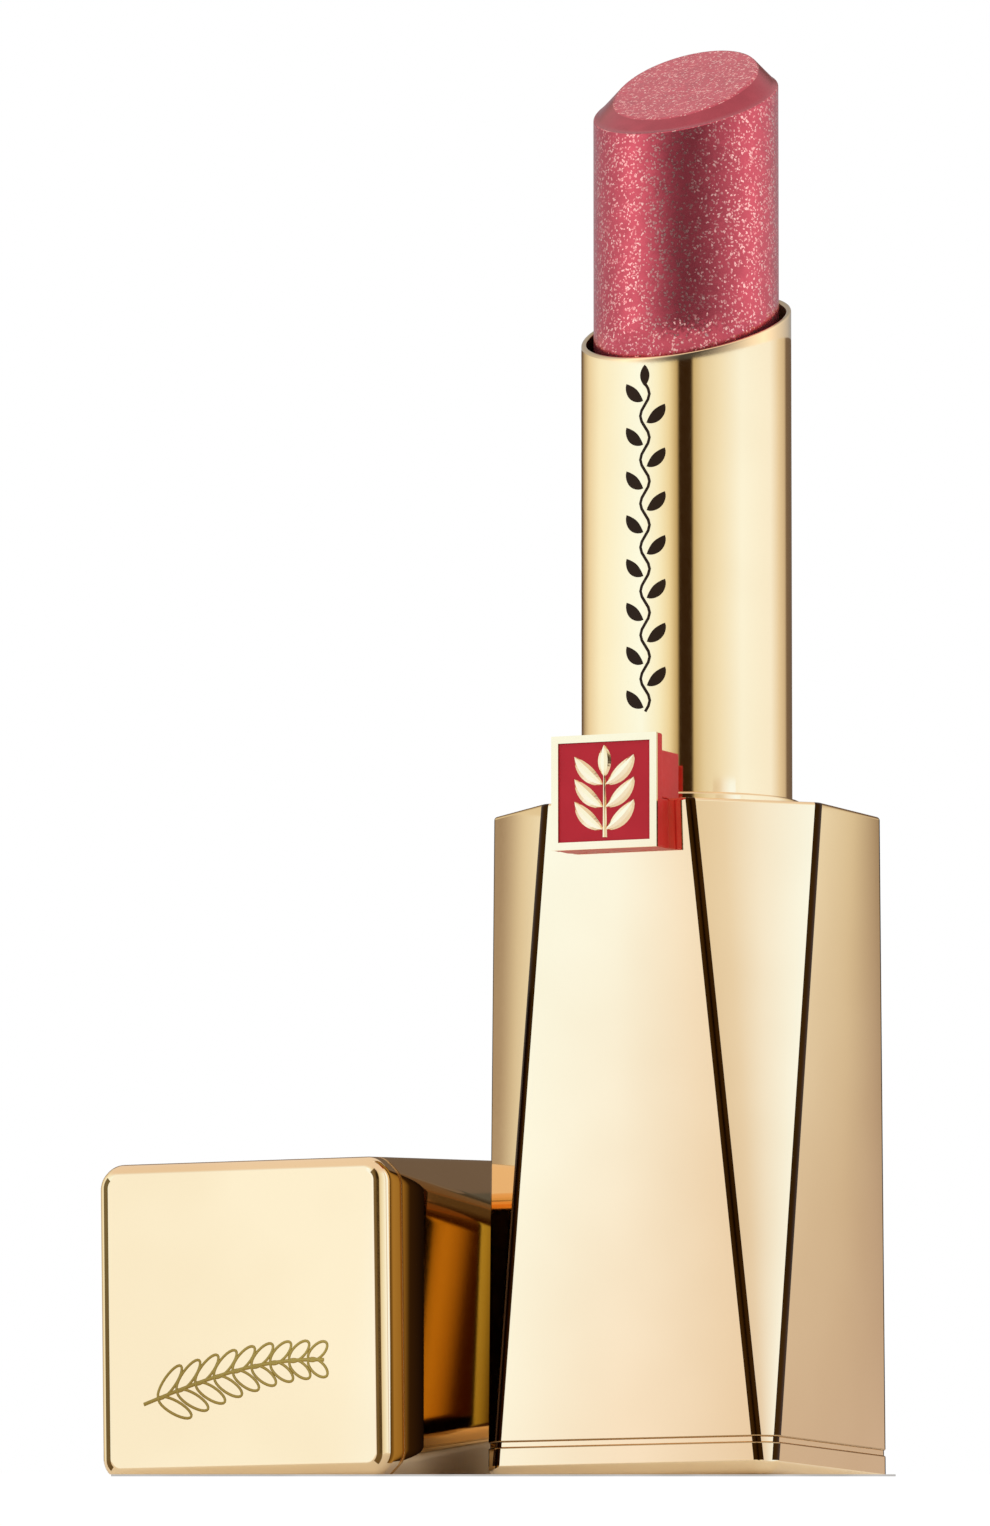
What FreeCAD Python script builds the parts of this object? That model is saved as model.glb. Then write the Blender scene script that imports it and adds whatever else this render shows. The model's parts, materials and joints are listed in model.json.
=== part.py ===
"""Faceted gold lipstick case with a twist-up bullet and its cap laid beside it.

The case stands on the XY plane with the swivel axis on +Z.  The face that carries the
emblem looks along -Y.  The cap lies on one of its flat faces to the left of the base,
with its closed end towards -Y and its open mouth towards +Y.
All sizes are in millimetres and live in the spreadsheet "Sizes".
"""
import FreeCAD, Part
import math
import os
import re

V = FreeCAD.Vector
doc = FreeCAD.newDocument("lipstick_case")

SIZES = {
    # faceted case: nearly square at the closed ends, octagonal where base and cap meet
    "base_height": 43.4,
    "base_foot_width": 20.15,
    "base_foot_corner": 0.78,
    "joint_width": 23.0,
    "joint_corner": 6.37,
    "cap_length": 39.6,
    "cap_end_width": 20.5,
    "cap_end_corner": 0.9,
    "shell_wall": 0.8,
    "facet_radius": 0.85,
    "rim_radius": 0.2,
    "end_radius": 0.95,
    "end_plate_height": 2.12,
    "seam_height": 0.34,
    "seam_inset": 0.07,
    "part_gap": 0.05,
    "fit_gap": 0.02,
    # twist mechanism
    "lead": 12.0,
    "travel": 18.0,
    "bullet_radius": 6.05,
    "tube_radius": 6.85,
    "tube_bore": 6.5,
    "guide_radius": 7.45,
    "guide_seat": 6.87,
    "guide_bottom": 12.55,
    "guide_top": 41.3,
    "sleeve_bore": 7.52,
    "sleeve_radius": 8.6,
    "sleeve_top": 41.4,
    "chassis_bore": 8.65,
    "groove_radius": 8.2,
    "groove_width": 2.32,
    "groove_overrun": 0.4,
    "groove_bite": 0.3,
    "slot_width": 2.2,
    "lug_radius": 1.0,
    "lug_reach": 8.1,
    "lug_margin": 0.1,
    "lug_level": 36.0,
    "stem_radius": 6.4,
    "stem_bore": 5.2,
    "stem_bottom": 34.4,
    "cup_floor": 66.0,
    "cup_floor_thickness": 0.8,
    "cup_rim": 71.5,
    "tube_bottom": 38.4,
    "rim_level": 75.6,
    "rim_slope": 0.43,
    "tip_level": 91.6,
    "tip_slope": 0.631,
    "tip_radius": 4.65,
    "bevel_level": 90.3,
    "bevel_slope": 0.484,
    # base furniture
    "weight_radius": 8.4,
    "weight_bottom": 2.15,
    "chassis_bottom": 2.5,
    "weight_top": 11.95,
    "washer_thickness": 0.5,
    "washer_bore": 6.6,
    "bearing_bottom": 41.45,
    "bearing_thickness": 0.4,
    "swivel_hole": 6.95,
    "deck_bottom": 41.9,
    "deck_top": 43.1,
    "collar_radius": 7.45,
    "collar_top": 44.3,
    "oring_radius": 7.27,
    "oring_section": 0.19,
    "oring_level": 14.7,
    "oring_groove": 0.7,
    "label_radius": 5.5,
    "label_thickness": 0.1,
    "magnet_radius": 1.2,
    "magnet_height": 1.05,
    "magnet_circle": 9.1,
    # emblem across the joint of base and cap
    "emblem_size": 7.35,
    "emblem_bottom": 40.1,
    "emblem_border": 0.48,
    "emblem_block_width": 7.2,
    "emblem_standoff": 1.05,
    "emblem_plate": 0.8,
    "emblem_metal": 0.22,
    "enamel_thickness": 0.08,
    "key_height": 3.0,
    "key_inside": 1.75,
    "key_clearance": 0.3,
    "block_step": 0.1,
    "relief_height": 0.08,
    "vein_width": 0.24,
    "vein_below": 2.9,
    "vein_above": 1.2,
    "leaf_arc": 1.9,
    "leaf_arc_centre": 1.45,
    "leaf_lean": 50.0,
    "leaf_side": 1.02,
    "leaf_first": 1.75,
    "leaf_pitch": 1.45,
    "leaf_top": 1.75,
    "emblem_pin_radius": 0.4,
    "emblem_pin_level": 40.75,
    "emblem_pin_spread": 2.0,
    "emblem_pin_end": 9.6,
    # cap furniture
    "liner_bore": 7.02,
    "liner_radius": 7.9,
    "liner_bottom": 1.2,
    "liner_inside_top": 35.6,
    "liner_top": 36.1,
    "rim_ring_bottom": 0.1,
    "rim_ring_top": 2.6,
    "rim_ring_hole": 7.6,
    "spacer_bottom": 27.0,
    "spacer_top": 29.5,
    "cap_weight_radius": 8.2,
    "cap_weight_bottom": 36.2,
    "cap_weight_gap": 0.03,
    "cap_weight_dimple": 2.0,
    "dimple_depth": 0.4,
    # where the cap lies: centre of its mouth, seen from above
    "cap_x": -23.6,
    "cap_end_y": -17.7,
}


def make_sheet():
    """Write every driving size as a plain number with a word for its alias."""
    sheet = doc.addObject("Spreadsheet::Sheet", "Sizes")
    for row, (name, value) in enumerate(SIZES.items(), start=1):
        sheet.set(f"A{row}", name)
        sheet.set(f"B{row}", str(value))
        sheet.setAlias(f"B{row}", name)
    doc.recompute()
    return sheet


SHEET = make_sheet()


def bind(obj, **expressions):
    """Bind properties to expressions; bare names in them are cells of the sheet."""
    def cell(match):
        word = match.group()
        return f"Sizes.{word}" if word in SIZES else word

    for prop, text in expressions.items():
        obj.setExpression(prop.replace("__", "."), re.sub(r"[a-z][a-z0-9_]*", cell, text))
    return obj


def cylinder(name, radius, bottom, top, x="0", y="0"):
    """Upright cylinder between two levels."""
    obj = doc.addObject("Part::Cylinder", name)
    bind(obj, Radius=radius, Height=f"({top}) - ({bottom})")
    bind(obj, Placement__Base__x=x, Placement__Base__y=y, Placement__Base__z=bottom)
    return obj


def rod(name, radius, start, length, level, x="0", direction="x"):
    """Cylinder lying along +X or +Y, from its start coordinate."""
    obj = doc.addObject("Part::Cylinder", name)
    bind(obj, Radius=radius, Height=length)
    if direction == "x":
        obj.Placement.Rotation = FreeCAD.Rotation(V(0, 1, 0), 90)
        bind(obj, Placement__Base__x=start, Placement__Base__z=level)
    else:
        obj.Placement.Rotation = FreeCAD.Rotation(V(1, 0, 0), -90)
        bind(obj, Placement__Base__x=x, Placement__Base__y=start, Placement__Base__z=level)
    return obj


def block(name, x_size, y_low, y_high, z_low, z_high):
    """Box centred on X between two Y coordinates and two levels."""
    obj = doc.addObject("Part::Box", name)
    bind(obj, Length=x_size, Width=f"({y_high}) - ({y_low})", Height=f"({z_high}) - ({z_low})")
    bind(obj, Placement__Base__x=f"-({x_size}) / 2")
    bind(obj, Placement__Base__y=y_low, Placement__Base__z=z_low)
    return obj


def slab(name, z_low, z_high):
    """Wide plate used to take a slice out of a blank."""
    return block(name, "2 * joint_width", "-joint_width", "joint_width", z_low, z_high)


def cut(name, base, *tools):
    """Base with every tool taken away."""
    tool = tools[0]
    if len(tools) > 1:
        tool = doc.addObject("Part::MultiFuse", name + "_tools")
        tool.Shapes = list(tools)
    obj = doc.addObject("Part::Cut", name)
    obj.Base = base
    obj.Tool = tool
    return obj


def join(name, *shapes):
    """One solid out of shapes that touch."""
    obj = doc.addObject("Part::MultiFuse", name)
    obj.Shapes = list(shapes)
    obj.Refine = True
    return obj


def common(name, first, second):
    """What two shapes share."""
    obj = doc.addObject("Part::Common", name)
    obj.Base = first
    obj.Tool = second
    return obj


def group(name, shapes):
    """Identical loose pieces kept as separate solids of one node."""
    obj = doc.addObject("Part::Compound", name)
    obj.Links = list(shapes)
    return obj


def ring(name, inner, outer, bottom, top):
    """Flat or tall ring about the axis."""
    return cut(name, cylinder(name + "_outer", outer, bottom, top),
               cylinder(name + "_hole", inner, bottom, top))


def frustum(name, half_low, half_high, z_low, z_high, turn):
    """Square pyramid stump about +Z, turned about the axis."""
    obj = doc.addObject("Part::Wedge", name)
    bind(obj, Xmin=f"-({half_low})", Xmax=half_low, Zmin=f"-({half_low})", Zmax=half_low)
    bind(obj, X2min=f"-({half_high})", X2max=half_high)
    bind(obj, Z2min=f"-({half_high})", Z2max=half_high)
    bind(obj, Ymin="0", Ymax=f"({z_high}) - ({z_low})")
    upright = FreeCAD.Rotation(V(1, 0, 0), 90)
    obj.Placement.Rotation = FreeCAD.Rotation(V(0, 0, 1), turn) * upright
    bind(obj, Placement__Base__z=z_low)
    return obj


def faceted(name, low, high, z_low, z_high, inset="0"):
    """Eight-sided stump: four main faces and four corner facets.

    low and high are (width across the main faces, corner leg) at the two levels.
    inset moves every face inwards.
    """
    halves = [f"{width} / 2 - ({inset})" for width, leg in (low, high)]
    corners = [f"({width} - {leg}) / sqrt(2) - ({inset})" for width, leg in (low, high)]
    main = frustum(name + "_faces", *halves, z_low, z_high, 0)
    facets = frustum(name + "_facets", *corners, z_low, z_high, 45)
    return common(name, main, facets)


def rounded(name, base, rules):
    """Fillet the edges that each (radius, test) rule picks; test gets the edge's box."""
    doc.recompute()
    obj = doc.addObject("Part::Fillet", name)
    obj.Base = base
    edges = []
    for index, edge in enumerate(base.Shape.Edges, start=1):
        for radius, test in rules:
            if test(edge.BoundBox):
                edges.append((index, radius, radius))
                break
    obj.Edges = edges
    return obj


def number(name):
    """Value of one size, for the few places where a property can't be bound."""
    return float(SHEET.get(name))


FOOT = ("base_foot_width", "base_foot_corner")
JOINT = ("joint_width", "joint_corner")
CAP_END = ("cap_end_width", "cap_end_corner")
LEVEL_TOLERANCE = 0.01


def is_flat_at(level):
    """Test for edges that lie in one horizontal plane."""
    return lambda box: abs(box.ZMin - level) < LEVEL_TOLERANCE and box.ZLength < LEVEL_TOLERANCE


def is_steep(box):
    """Test for the long edges between neighbouring facets."""
    return box.ZLength > 1.0


# ---------------------------------------------------------------- faceted shells
def base_blank():
    """Outside of the base with its rounded facet edges, foot and rim."""
    blank = faceted("base_faceted", FOOT, JOINT, "0", "base_height")
    upright = rounded("base_upright", blank, [(number("facet_radius"), is_steep)])
    rim = (number("rim_radius"), is_flat_at(number("base_height")))
    foot = (number("end_radius"), is_flat_at(0))
    return rounded("base_blank", upright, [rim, foot])


def cap_blank():
    """Outside of the cap, standing with its mouth at zero and its closed end up."""
    blank = faceted("cap_faceted", JOINT, CAP_END, "0", "cap_length")
    upright = rounded("cap_upright", blank, [(number("facet_radius"), is_steep)])
    mouth = (number("rim_radius"), is_flat_at(0))
    end = (number("end_radius"), is_flat_at(number("cap_length")))
    return rounded("cap_blank", upright, [mouth, end])


def seam_band(name, low, high, z_end, z_low, z_high, hole):
    """Thin band let in a little below the faces beside the end plate."""
    inner = faceted(name + "_inset", low, high, "0", z_end, "seam_inset")
    band = common(name + "_slice", inner, slab(name + "_slab", z_low, z_high))
    return cut(name, band, cylinder(name + "_hole", hole, z_low, z_high))


def make_base():
    """Shell, band, foot plate, ballast, chassis, deck and collar of the base."""
    blank = base_blank()
    seam_top = "end_plate_height + seam_height"
    wall = faceted("base_cavity", FOOT, JOINT, "0", "base_height", "shell_wall")
    upper = common("base_upper", blank, slab("base_upper_slab", seam_top, "base_height"))
    pin_holes = emblem_pins("base_shell_pin")
    shell = cut("base_shell", upper, wall, *pin_holes)

    band = seam_band("base_seam_band", FOOT, JOINT, "base_height",
                     "end_plate_height", seam_top, "weight_radius + part_gap")
    foot = common("base_foot_slice", blank, slab("base_foot_slab", "0", "end_plate_height"))
    recess = cylinder("label_recess", "label_radius + part_gap", "0", "label_thickness")
    plate = cut("base_end_plate", foot, recess)
    label = cylinder("shade_label", "label_radius", "0", "label_thickness")

    weight = cylinder("base_weight", "weight_radius", "weight_bottom", "weight_top")
    loose = faceted("chassis_outside", FOOT, JOINT, "0", "base_height", "shell_wall + part_gap")
    chassis_slab = slab("chassis_slab", "chassis_bottom", "sleeve_top")
    chassis_body = common("chassis_body", loose, chassis_slab)
    bore = cylinder("chassis_bore_tool", "chassis_bore", "weight_top", "sleeve_top")
    well = cylinder("chassis_well_tool", "weight_radius + part_gap",
                    "chassis_bottom", "weight_top")
    chassis = cut("base_chassis", chassis_body, bore, well, *emblem_pins("chassis_pin"))

    deck_slab = slab("deck_slab", "deck_bottom", "deck_top")
    deck_outside = faceted("deck_outside", FOOT, JOINT, "0", "base_height",
                           "shell_wall + part_gap")
    deck_body = common("deck_body", deck_outside, deck_slab)
    hole = cylinder("deck_hole", "swivel_hole", "deck_bottom", "deck_top")
    top = "deck_top"
    pockets = magnets("deck_pocket", f"{top} - magnet_height", top, "magnet_radius + fit_gap")
    deck = cut("base_deck", deck_body, hole, *pockets)
    collar = ring("base_collar", "swivel_hole", "collar_radius", "deck_top", "collar_top")
    magnet_set = group("base_magnets", magnets("base_magnet", f"{top} - magnet_height", top))
    return [shell, band, plate, label, weight, chassis, deck, collar, magnet_set]


def magnets(name, bottom, top, radius="magnet_radius"):
    """Four upright discs, one behind each corner facet."""
    discs = []
    for index, (sx, sy) in enumerate([(1, 1), (-1, 1), (-1, -1), (1, -1)], start=1):
        offset = "magnet_circle / sqrt(2)"
        discs.append(cylinder(f"{name}_{index}", radius, bottom, top,
                              f"{sx} * {offset}", f"{sy} * {offset}"))
    return discs


# ---------------------------------------------------------------- twist mechanism
def make_mechanism():
    """Fixed spiral sleeve and its bearing rings."""
    body = ring("sleeve_body", "sleeve_bore", "sleeve_radius",
                "guide_bottom + part_gap", "sleeve_top")
    grooves = [spiral_groove(f"spiral_groove_{turn}", turn) for turn in (0, 180)]
    sleeve = cut("spiral_sleeve", body, *grooves)
    washer = ring("thrust_washer", "washer_bore", "sleeve_radius",
                  "weight_top", "weight_top + washer_thickness")
    bearing = ring("top_bearing_ring", "swivel_hole", "sleeve_radius",
                   "bearing_bottom", "bearing_bottom + bearing_thickness")
    return [sleeve, washer, bearing]


def spiral_groove(name, start_angle):
    """Helical cutter for one lug, from the lowered lug level to the raised one."""
    helix = doc.addObject("Part::Helix", name + "_path")
    bind(helix, Pitch="lead", Height="travel + 2 * groove_overrun", Radius="groove_radius")
    section = doc.addObject("Part::Plane", name + "_section")
    bind(section, Length="groove_radius - sleeve_bore + groove_bite", Width="groove_width")
    section.Placement.Rotation = FreeCAD.Rotation(V(1, 0, 0), 90)
    bind(section, Placement__Base__x="sleeve_bore - groove_bite")
    bind(section, Placement__Base__z="-groove_width / 2")
    sweep = doc.addObject("Part::Sweep", name)
    sweep.Sections = [section]
    sweep.Spine = (helix, ["Edge1"])
    sweep.Solid = True
    sweep.Frenet = True
    lead_in = number("groove_overrun") / number("lead") * 360.0
    sweep.Placement.Rotation = FreeCAD.Rotation(V(0, 0, 1), start_angle - lead_in)
    bind(sweep, Placement__Base__z="lug_level - travel - groove_overrun")
    return sweep


def make_swivel():
    """Tube with its slanted rim, the slotted guide it is pressed into, and a drag ring."""
    pipe = ring("tube_pipe", "tube_bore", "tube_radius", "tube_bottom", "rim_level + tube_radius")
    tube = cut("tube_shell", pipe, slant_cutter("tube_slant"))

    body = ring("guide_body", "tube_bore", "guide_radius", "guide_bottom", "guide_top")
    seat = cylinder("guide_seat_tool", "guide_seat", "tube_bottom - part_gap", "guide_top")
    slots = []
    margin = "lug_radius + lug_margin"
    for index in (1, 2):
        side = doc.addObject("Part::Box", f"guide_slot_{index}")
        bind(side, Length="sleeve_radius", Width="slot_width",
             Height=f"travel + 2 * ({margin})")
        bind(side, Placement__Base__x="0" if index == 1 else "-sleeve_radius")
        bind(side, Placement__Base__y="-slot_width / 2")
        bind(side, Placement__Base__z=f"lug_level - travel - ({margin})")
        slots.append(side)
    groove = ring("guide_groove", "oring_radius - oring_section", "sleeve_radius",
                  "oring_level - oring_groove / 2", "oring_level + oring_groove / 2")
    guide = cut("guide_tube", body, seat, groove, *slots)

    drag = doc.addObject("Part::Torus", "friction_ring")
    bind(drag, Radius1="oring_radius + fit_gap", Radius2="oring_section")
    bind(drag, Placement__Base__z="oring_level")
    return [tube, guide, drag]


def slant_cutter(name):
    """Large box whose lower face is the slanted plane of the tube's rim."""
    obj = doc.addObject("Part::Box", name)
    bind(obj, Length="6 * tube_radius", Width="6 * tube_radius", Height="4 * tube_radius")
    angle = math.atan(number("rim_slope"))
    obj.Placement.Rotation = FreeCAD.Rotation(V(1, 0, 0), math.degrees(angle))
    bind(obj, Placement__Base__x="-3 * tube_radius")
    bind(obj, Placement__Base__y="-3 * tube_radius * cos(atan(rim_slope))")
    bind(obj, Placement__Base__z="rim_level - 3 * tube_radius * sin(atan(rim_slope))")
    return obj


def make_carrier():
    """Long-stemmed cup with two lugs, and the bullet of lip colour in it."""
    outside = cylinder("cup_outside", "stem_radius", "stem_bottom", "cup_rim")
    lugs = rod("cup_lugs", "lug_radius", "-lug_reach", "2 * lug_reach", "lug_level")
    solid = join("cup_solid", outside, lugs)
    under = "cup_floor - cup_floor_thickness"
    stem_hole = cylinder("cup_stem_hole", "stem_bore", "stem_bottom", under)
    pocket = cylinder("cup_pocket", "bullet_radius", "cup_floor", "cup_rim")
    cup = cut("bullet_cup", solid, stem_hole, pocket)

    sections = [slanted_ellipse("bullet_foot", "bullet_radius", "0", "cup_floor"),
                slanted_ellipse("bullet_bevel", "bullet_radius", "bevel_slope", "bevel_level"),
                slanted_ellipse("bullet_tip", "tip_radius", "tip_slope", "tip_level")]
    bullet = doc.addObject("Part::Loft", "bullet")
    bullet.Sections = sections
    bullet.Solid = True
    bullet.Ruled = True
    return [cup, bullet]


def slanted_ellipse(name, radius, slope, level):
    """Section of an upright cylinder by a plane that rises towards +Y."""
    obj = doc.addObject("Part::Ellipse", name)
    bind(obj, MajorRadius=f"{radius} * sqrt(1 + ({slope})^2)", MinorRadius=radius)
    rise = number(slope) if slope in SIZES else 0.0
    tilt = FreeCAD.Rotation(V(1, 0, 0), math.degrees(math.atan(rise)))
    obj.Placement.Rotation = tilt * FreeCAD.Rotation(V(0, 0, 1), 90)
    bind(obj, Placement__Base__z=level)
    return obj


# ---------------------------------------------------------------- emblem
def emblem_pins(name):
    """Two dowels that go through the standoff and the shell into the chassis."""
    start = "-(joint_width / 2 + emblem_standoff)"
    length = "joint_width / 2 + emblem_standoff - emblem_pin_end"
    return [rod(f"{name}_{index}", "emblem_pin_radius", start, length, "emblem_pin_level",
                f"{side} * emblem_pin_spread", "y")
            for index, side in ((1, -1), (2, 1))]


def make_emblem():
    """Square plate that stands off the front face and bridges base and cap."""
    face = "-joint_width / 2"
    back = f"{face} - emblem_standoff"
    front = f"{back} - emblem_plate"
    top = "emblem_bottom + emblem_size"
    plate = block("carrier_plate", "emblem_size", front, back, "emblem_bottom", top)
    foot = block("carrier_foot", "emblem_block_width", back, f"{face} + shell_wall",
                 "emblem_bottom", "base_height - block_step")
    key = block("carrier_key", "emblem_block_width", back, f"{face} + key_inside",
                "base_height", "base_height + key_height")
    neck = block("carrier_neck", "emblem_block_width", back, f"{face} - part_gap",
                 "base_height - 2 * block_step", "base_height + block_step")
    solid = join("carrier_solid", plate, foot, key, neck)
    outside = faceted("carrier_trim", FOOT, JOINT, "0", "base_height", "-part_gap")
    carrier = cut("emblem_carrier", solid, outside, *emblem_pins("carrier_pin"))

    metal_front = f"{front} - emblem_metal"
    window = "emblem_size - 2 * emblem_border"
    frame_plate = block("frame_plate", "emblem_size", metal_front, front, "emblem_bottom", top)
    frame_window = block("frame_window", window, metal_front, front,
                         "emblem_bottom + emblem_border", f"{top} - emblem_border")
    frame = cut("emblem_frame", frame_plate, frame_window)
    enamel = block("emblem_enamel", f"{window} - 2 * fit_gap",
                   f"{front} - enamel_thickness", front,
                   "emblem_bottom + emblem_border + fit_gap",
                   f"{top} - emblem_border - fit_gap")
    relief = emblem_relief(front)
    pins = group("emblem_pins", emblem_pins("emblem_pin"))
    return [carrier, frame, enamel, relief, pins]


def emblem_relief(back):
    """Raised sprig: an upright vein, three pairs of pointed leaves and one on top."""
    middle = "emblem_bottom + emblem_size / 2"
    low = f"{back} - enamel_thickness"
    raised = f"{low} - relief_height"
    vein = block("relief_vein", "vein_width", raised, low,
                 f"{middle} - vein_below", f"{middle} + vein_above")
    leaves = [vein, leaf("relief_leaf_top", 0, f"{middle} + leaf_top", raised, low)]
    for row in range(3):
        level = f"{middle} - leaf_first + {row} * leaf_pitch"
        for side in (-1, 1):
            leaves.append(leaf(f"relief_leaf_{row}_{side}", side, level, raised, low))
    return join("emblem_relief", *leaves)


def leaf(name, side, level, front, back):
    """One pointed leaf: the lens shared by two discs, leaning away from the vein."""
    discs = []
    for letter, offset in (("a", -1), ("b", 1)):
        disc = doc.addObject("Part::Cylinder", f"{name}_{letter}")
        bind(disc, Radius="leaf_arc", Height=f"({back}) - ({front})")
        disc.Placement.Rotation = FreeCAD.Rotation(V(1, 0, 0), -90)
        bind(disc, Placement__Base__x=f"{offset} * leaf_arc_centre")
        discs.append(disc)
    lens = common(name, *discs)
    lens.Placement.Rotation = FreeCAD.Rotation(V(0, 1, 0), side * number("leaf_lean"))
    bind(lens, Placement__Base__x=f"{side} * leaf_side", Placement__Base__y=front)
    bind(lens, Placement__Base__z=level)
    return lens


# ---------------------------------------------------------------- cap
def make_cap():
    """Cap parts, built standing on their mouth and then laid on the ground."""
    blank = cap_blank()
    seam_low = "cap_length - end_plate_height - seam_height"
    seam_high = "cap_length - end_plate_height"
    cavity = faceted("cap_cavity", JOINT, CAP_END, "0", "cap_length", "shell_wall")
    lower = common("cap_lower", blank, slab("cap_lower_slab", "0", seam_low))
    shell = cut("cap_shell", lower, cavity, key_notch("shell_notch"))
    band = seam_band("cap_seam_band", JOINT, CAP_END, "cap_length",
                     seam_low, seam_high, "cap_weight_radius + part_gap")
    plate = common("cap_end_plate", blank, slab("cap_end_slab", seam_high, "cap_length"))

    tube = ring("liner_tube", "liner_bore", "liner_radius", "liner_bottom", "liner_top")
    roof = cylinder("liner_roof", "liner_bore + part_gap", "liner_inside_top", "liner_top")
    liner = join("cap_liner", tube, roof)

    ring_body = inner_plate("rim_ring_body", "rim_ring_bottom", "rim_ring_top")
    mouth = cylinder("rim_ring_mouth", "rim_ring_hole", "0", "rim_ring_top")
    seat = cylinder("rim_ring_seat", "liner_radius + fit_gap", "liner_bottom - part_gap",
                    "rim_ring_top")
    top = "rim_ring_bottom + magnet_height"
    pockets = magnets("rim_pocket", "rim_ring_bottom", top, "magnet_radius + fit_gap")
    rim = cut("cap_rim_ring", ring_body, mouth, seat, key_notch("rim_notch"), *pockets)
    magnet_set = group("cap_magnets", magnets("cap_magnet", "rim_ring_bottom", top))

    spacer_body = inner_plate("spacer_body", "spacer_bottom", "spacer_top")
    spacer_hole = cylinder("spacer_hole", "liner_radius + fit_gap", "spacer_bottom", "spacer_top")
    spacer = cut("cap_spacer", spacer_body, spacer_hole)
    puck = cylinder("cap_weight_puck", "cap_weight_radius", "cap_weight_bottom",
                    f"{seam_high} - cap_weight_gap")
    dimple = cylinder("cap_weight_hollow", "cap_weight_dimple", "cap_weight_bottom",
                      "cap_weight_bottom + dimple_depth")
    weight = cut("cap_weight", puck, dimple)
    return [shell, band, plate, liner, rim, magnet_set, spacer, weight]


def inner_plate(name, bottom, top):
    """Slice of the cap's inside, a little smaller than the cavity."""
    inside = faceted(name + "_inside", JOINT, CAP_END, "0", "cap_length",
                     "shell_wall + part_gap")
    return common(name, inside, slab(name + "_slab", bottom, top))


def key_notch(name):
    """Notch in the mouth that the emblem's key goes into."""
    return block(name, "emblem_block_width + 2 * key_clearance", "-joint_width",
                 "-joint_width / 2 + key_inside + key_clearance",
                 "-key_height", "key_height + key_clearance")


def lie_down(parts):
    """Lay the cap on the flat face opposite its notch."""
    mouth_half = number("joint_width") / 2
    end_half = number("cap_end_width") / 2
    length = number("cap_length")
    tilt = math.atan((mouth_half - end_half) / length)
    roll = FreeCAD.Rotation(V(1, 0, 0), 90 + math.degrees(tilt))
    turn = FreeCAD.Rotation(V(0, 0, 1), 180)
    end_y = number("cap_end_y")
    mouth = V(number("cap_x"), end_y + length * math.cos(tilt), mouth_half * math.cos(tilt))
    lying = FreeCAD.Placement(mouth, roll * turn)
    for part in parts:
        part.Placement = lying.multiply(part.Placement)


def check(parts):
    """Stop if any object failed or any part has no valid solid."""
    for obj in doc.Objects:
        bad = [state for state in obj.State if state in ("Invalid", "Error")]
        if bad:
            raise RuntimeError(f"{obj.Name}: {bad}")
    for part in parts:
        shape = part.Shape
        if shape.isNull() or not shape.isValid() or not shape.Solids:
            raise RuntimeError(f"{part.Label} has no valid solid")


def main():
    """Build, check and write every part."""
    cap_parts = make_cap()
    parts = make_base() + make_mechanism() + make_swivel() + make_carrier()
    parts += make_emblem() + cap_parts
    doc.recompute()
    lie_down(cap_parts)
    doc.recompute()
    check(parts)
    os.makedirs("parts", exist_ok=True)
    for part in parts:
        part.Label = part.Name
        part.Shape.exportStep(f"parts/{part.Label}.step")
        box = part.Shape.BoundBox
        print(f"{part.Label:18s} solids {len(part.Shape.Solids)} volume {part.Shape.Volume:9.2f}"
              f"  z {box.ZMin:6.2f} to {box.ZMax:6.2f}")


main()
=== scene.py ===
"""Looks of the faceted lipstick case: visible shells, bullet, emblem, materials, studio."""

import json
import math

import bpy
import numpy as np
from mathutils import Matrix, Vector
from mathutils.kdtree import KDTree


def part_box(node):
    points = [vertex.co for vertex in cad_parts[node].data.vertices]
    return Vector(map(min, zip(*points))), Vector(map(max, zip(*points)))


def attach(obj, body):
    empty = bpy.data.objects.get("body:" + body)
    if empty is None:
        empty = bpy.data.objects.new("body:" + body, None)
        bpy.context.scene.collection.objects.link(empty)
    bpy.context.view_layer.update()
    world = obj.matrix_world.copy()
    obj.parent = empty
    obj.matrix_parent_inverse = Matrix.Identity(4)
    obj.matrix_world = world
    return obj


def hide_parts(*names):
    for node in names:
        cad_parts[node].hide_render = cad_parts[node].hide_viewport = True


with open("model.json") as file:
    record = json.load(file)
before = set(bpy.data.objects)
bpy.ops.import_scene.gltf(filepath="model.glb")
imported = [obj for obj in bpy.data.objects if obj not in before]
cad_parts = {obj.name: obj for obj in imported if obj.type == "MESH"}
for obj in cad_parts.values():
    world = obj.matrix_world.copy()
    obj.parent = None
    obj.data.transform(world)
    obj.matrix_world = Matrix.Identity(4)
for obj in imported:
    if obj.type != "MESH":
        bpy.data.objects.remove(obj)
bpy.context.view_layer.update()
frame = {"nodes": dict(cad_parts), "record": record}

MM = 0.001

# ------------------------------------------------------------------ sizes, millimetres
JOINT_WIDTH = 23.0          # across the main faces where base and cap meet
JOINT_LEG = 6.37            # how far a corner facet cuts into each side there
BASE_FOOT_WIDTH = 20.15
BASE_FOOT_LEG = 0.78
CAP_END_WIDTH = 20.5
CAP_END_LEG = 0.9
BASE_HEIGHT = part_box("base_shell")[1].z / MM
CAP_LENGTH = 39.6
WALL = 0.8
FACET_RADIUS = 0.85
CAP_CORNER_RADIUS = 1.5
END_RADIUS = 0.95
RIM_RADIUS = 0.22
FOOT_HEIGHT = 2.12          # the end plates of base and cap
SEAM_HEIGHT = 0.34
SEAM_INSET = 0.10           # the band lies this far behind the walls next to it
SEAM_ROUND = 0.09
CAP_X = -23.6
CAP_END_Y = -17.7
DARK_LINE_STEPS = (1, 2, 3)   # strips of the closed end's rounding, counted from its face
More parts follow.
